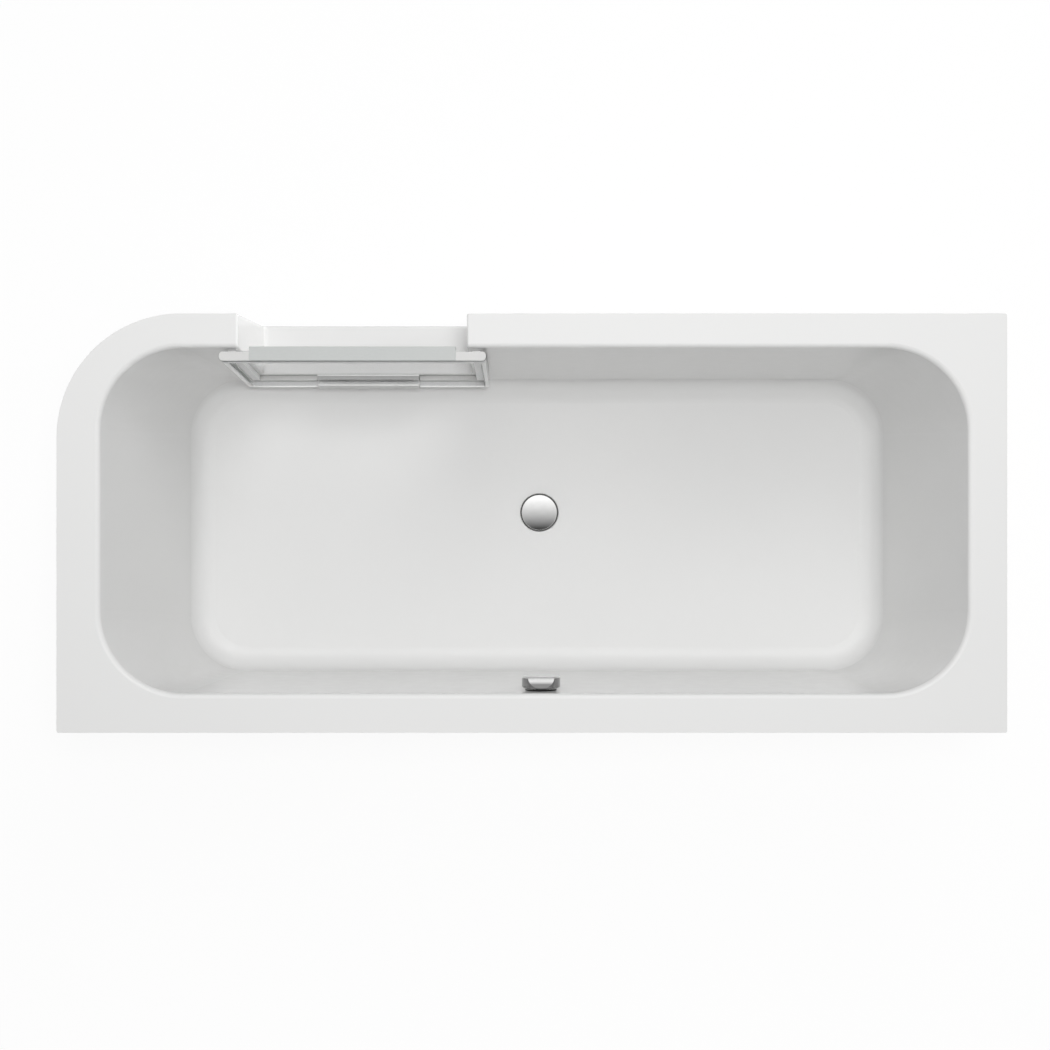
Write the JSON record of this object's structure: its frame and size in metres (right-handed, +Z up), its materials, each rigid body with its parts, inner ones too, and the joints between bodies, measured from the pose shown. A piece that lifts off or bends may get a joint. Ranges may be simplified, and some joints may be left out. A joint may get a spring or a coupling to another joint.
{
  "type": "walk-in shower bath",
  "caption": "White acrylic bathtub with one rounded outer corner and a walk-in notch in its front rim, closed by a tilting lift-out glass door; pop-up waste with overflow knob.",
  "frame": {"origin": "middle of the overall box, at the floor under the levelling feet", "axes": "+X along the length towards the end with the rounded outer corner, -Y towards the room and the door, +Z up"},
  "size_m": [1.7208, 0.7708, 0.6003],
  "materials": {
    "acrylic": "white gloss sanitary acrylic, moulded, with a soft reflection",
    "board": "bare chipboard, bonded under the floor",
    "timber": "planed softwood battens",
    "steel": "zinc plated steel, satin",
    "aluminium": "satin anodised aluminium",
    "chrome": "bright chrome plate",
    "glass": "clear toughened glass with a faint green edge",
    "seal": "dark grey soft seal",
    "gasket": "black rubber",
    "fitting": "white moulded waste fitting",
    "pad": "black moulded foot",
    "cable": "black cable sleeve"
  },
  "bodies": {
    "tub": {"apron_hanger_end": "steel", "apron_hanger_front": "steel", "apron_panel": "acrylic", "apron_screws": "steel", "apron_stays": "steel", "bracket_backplate": "steel", "bracket_screws": "steel", "cross_rail_left": "steel", "cross_rail_middle": "steel", "cross_rail_right": "steel", "door_bracket": "chrome", "door_pivot_pin": "steel", "drain_body": "fitting", "drain_flange": "chrome", "drain_gasket_lower": "gasket", "drain_gasket_upper": "gasket", "floor_board": "board", "foot_nuts": "steel", "lever_pin": "steel", "overflow_body": "fitting", "overflow_gasket": "gasket", "overflow_pipe": "fitting", "overflow_ring": "chrome", "pipe_nuts": "fitting", "pull_cable": "cable", "rail_screws": "steel", "rim_battens": "timber", "sill_frame": "steel", "trap_cup": "fitting", "trap_nut": "fitting", "tub_shell": "acrylic"},
    "shoe": {"door_shoe": "aluminium", "shoe_gasket": "seal"},
    "door": {"door_glass": "glass", "door_top_rail": "aluminium", "door_grip_strip": "aluminium", "door_trim_left": "aluminium", "door_trim_right": "aluminium", "door_seal_left": "seal", "door_seal_right": "seal"},
    "knob": {"overflow_knob": "chrome", "knob_spindle": "steel"},
    "plug": {"drain_plug": "chrome", "plug_seal": "gasket"},
    "lever": {"lift_lever": "fitting"},
    "foot_left_front": {"foot_stud_left_front": "steel", "foot_pad_left_front": "pad"},
    "foot_left_back": {"foot_stud_left_back": "steel", "foot_pad_left_back": "pad"},
    "foot_middle_front": {"foot_stud_middle_front": "steel", "foot_pad_middle_front": "pad"},
    "foot_middle_back": {"foot_stud_middle_back": "steel", "foot_pad_middle_back": "pad"},
    "foot_right_front": {"foot_stud_right_front": "steel", "foot_pad_right_front": "pad"},
    "foot_right_back": {"foot_stud_right_back": "steel", "foot_pad_right_back": "pad"}
  },
  "joints": [
    {"name": "door_tilt", "type": "hinge", "parent": "tub", "child": "shoe", "pos_m": [0.31063, -0.26554, 0.20665], "axis": [-1, 0, 0], "range_deg": [0, 25]},
    {"name": "door_lift", "type": "slide", "parent": "shoe", "child": "door", "axis": [0, -0.061, 0.9981], "range_m": [0, 0.42]},
    {"name": "knob_turn", "type": "hinge", "parent": "tub", "child": "knob", "pos_m": [-0.02737, 0.31392, 0.536], "axis": [0, 1, 0], "range_deg": [0, 90]},
    {"name": "plug_lift", "type": "slide", "parent": "tub", "child": "plug", "axis": [0, 0, 1], "range_m": [0, 0.009]},
    {"name": "lever_turn", "type": "hinge", "parent": "tub", "child": "lever", "pos_m": [-0.00537, -0.01163, 0.08], "axis": [0, 1, 0], "range_deg": [0, 24.15]},
    {"name": "foot_left_front_level", "type": "slide", "parent": "tub", "child": "foot_left_front", "axis": [0, 0, -1], "range_m": [-0.018, 0.022]},
    {"name": "foot_left_back_level", "type": "slide", "parent": "tub", "child": "foot_left_back", "axis": [0, 0, -1], "range_m": [-0.018, 0.022]},
    {"name": "foot_middle_front_level", "type": "slide", "parent": "tub", "child": "foot_middle_front", "axis": [0, 0, -1], "range_m": [-0.018, 0.022]},
    {"name": "foot_middle_back_level", "type": "slide", "parent": "tub", "child": "foot_middle_back", "axis": [0, 0, -1], "range_m": [-0.018, 0.022]},
    {"name": "foot_right_front_level", "type": "slide", "parent": "tub", "child": "foot_right_front", "axis": [0, 0, -1], "range_m": [-0.018, 0.022]},
    {"name": "foot_right_back_level", "type": "slide", "parent": "tub", "child": "foot_right_back", "axis": [0, 0, -1], "range_m": [-0.018, 0.022]}
  ],
  "couplings": [
    {"joint": "plug_lift", "follows": "knob_turn", "m_per_rad": 0.0057296},
    {"joint": "lever_turn", "follows": "knob_turn", "ratio": 0.26831}
  ]
}
